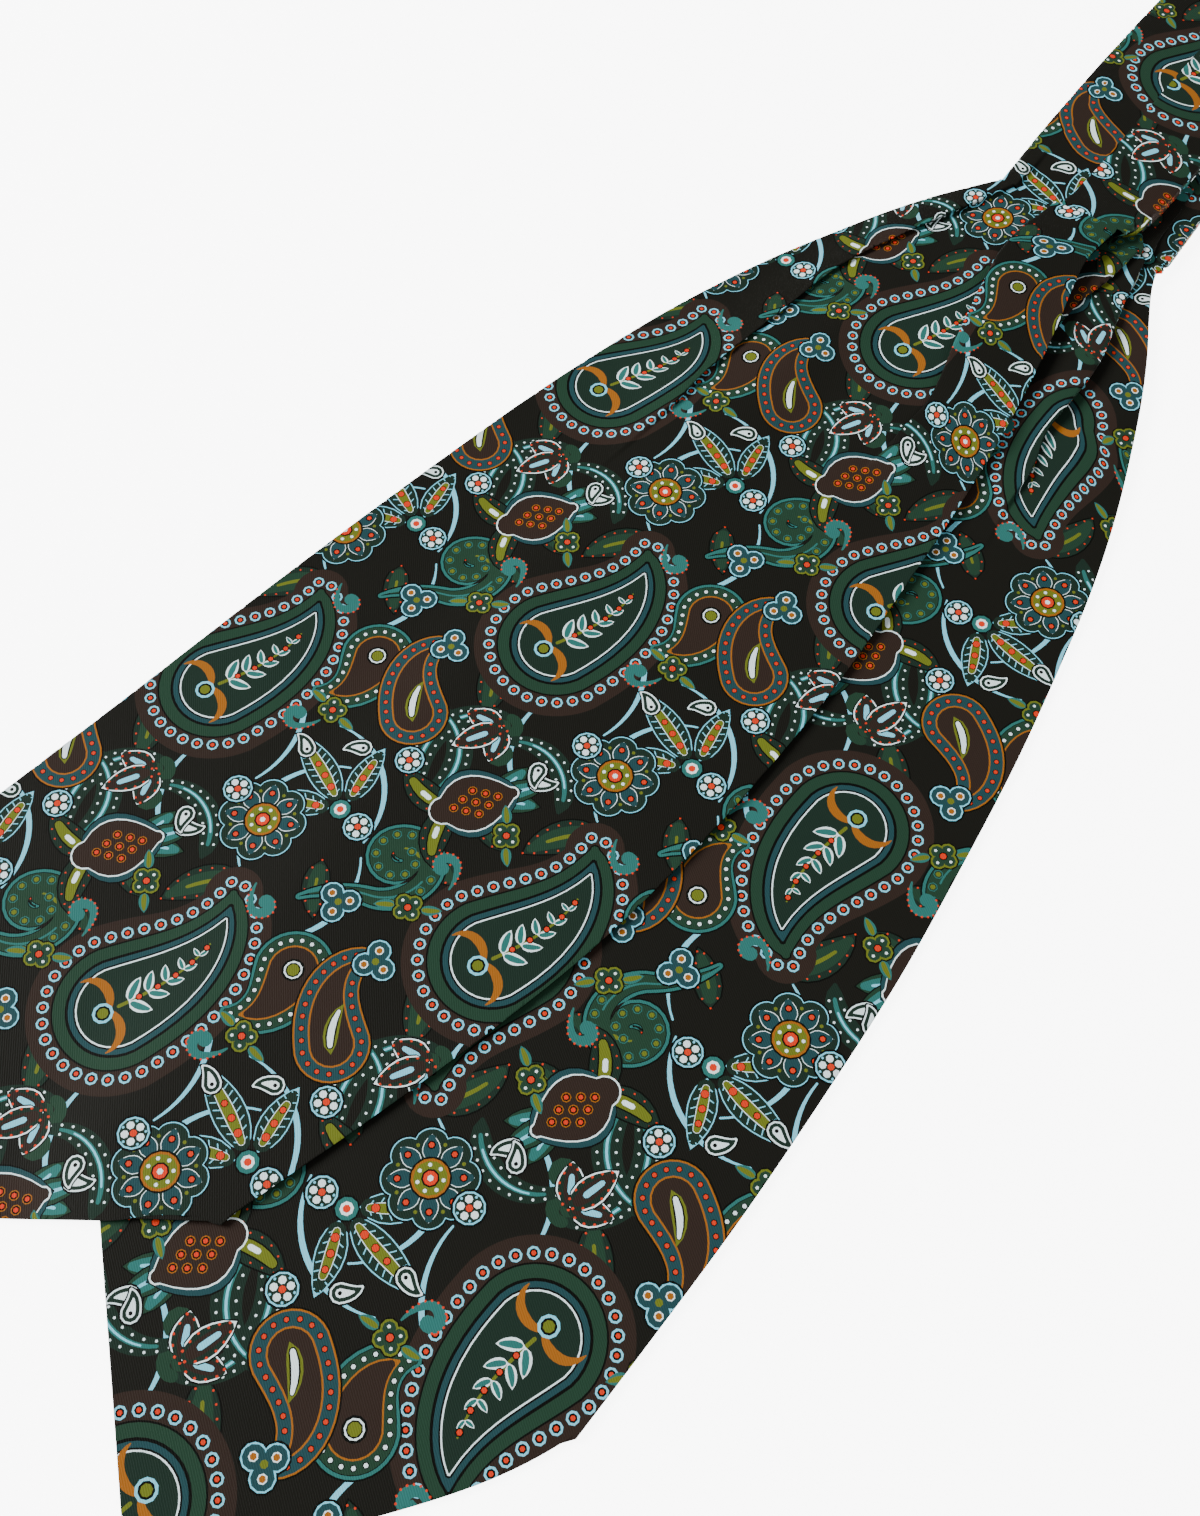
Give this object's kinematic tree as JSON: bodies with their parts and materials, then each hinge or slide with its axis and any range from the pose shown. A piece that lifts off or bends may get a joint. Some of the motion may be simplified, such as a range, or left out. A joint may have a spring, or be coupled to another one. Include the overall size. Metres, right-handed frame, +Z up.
{
  "type": "silk cravat",
  "caption": "Self-tie cravat laid flat: two wide pointed blades of printed twill fanned from a pleated neck band folded in half.",
  "frame": {"origin": "centre of the lay's outline, on the surface that it lies on", "axes": "+Z up from the table; +Y runs up the picture, away from its camera, towards the folded neck band; +X to the picture's right"},
  "size_m": [0.4822, 0.5704, 0.0146],
  "materials": {
    "printed_silk": "near-black silk twill printed with a teal, green, pale blue, orange and mustard paisley, soft sheen",
    "printed_silk_underside": "the same printed silk twill, turned print side out on the underside"
  },
  "bodies": {
    "root": {"lower_blade_underside": "printed_silk_underside", "lower_blade_front": "printed_silk", "upper_blade_underside": "printed_silk_underside", "upper_blade_front": "printed_silk", "lower_neck_band": "printed_silk", "upper_neck_band": "printed_silk", "neck_band_fold": "printed_silk"}
  },
  "joints": []
}
